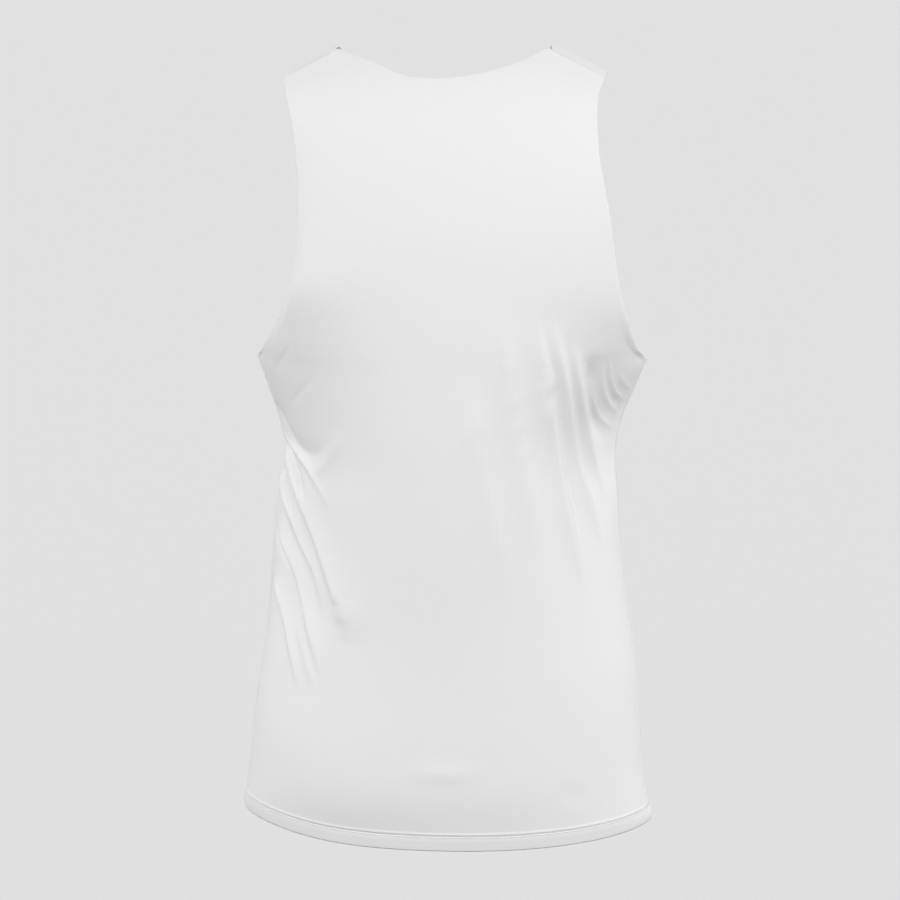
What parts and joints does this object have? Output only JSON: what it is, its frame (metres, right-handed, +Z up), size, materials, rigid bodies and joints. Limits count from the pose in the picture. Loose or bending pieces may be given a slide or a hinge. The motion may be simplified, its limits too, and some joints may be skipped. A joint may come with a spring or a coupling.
{
  "type": "athletic tank top",
  "caption": "Sleeveless athletic tank top in white stretch jersey, cut with wide straps, deep armholes and a scooped neck, holding a worn shape with no wearer.",
  "frame": {"origin": "middle of the neck opening between the shoulder straps, level with the tops of the straps, where a wearer's shoulders hold the garment", "axes": "+Z up the wearer's body, -Y out of the front, +Y out of the back, +X towards the wearer's left"},
  "size_m": [0.3778, 0.2227, 0.7113],
  "materials": {
    "jersey": "smooth white polyester jersey with a soft sheen"
  },
  "bodies": {
    "root": {"back_panel": "jersey", "front_panel": "jersey", "hem_back": "jersey", "hem_front": "jersey"}
  },
  "joints": []
}
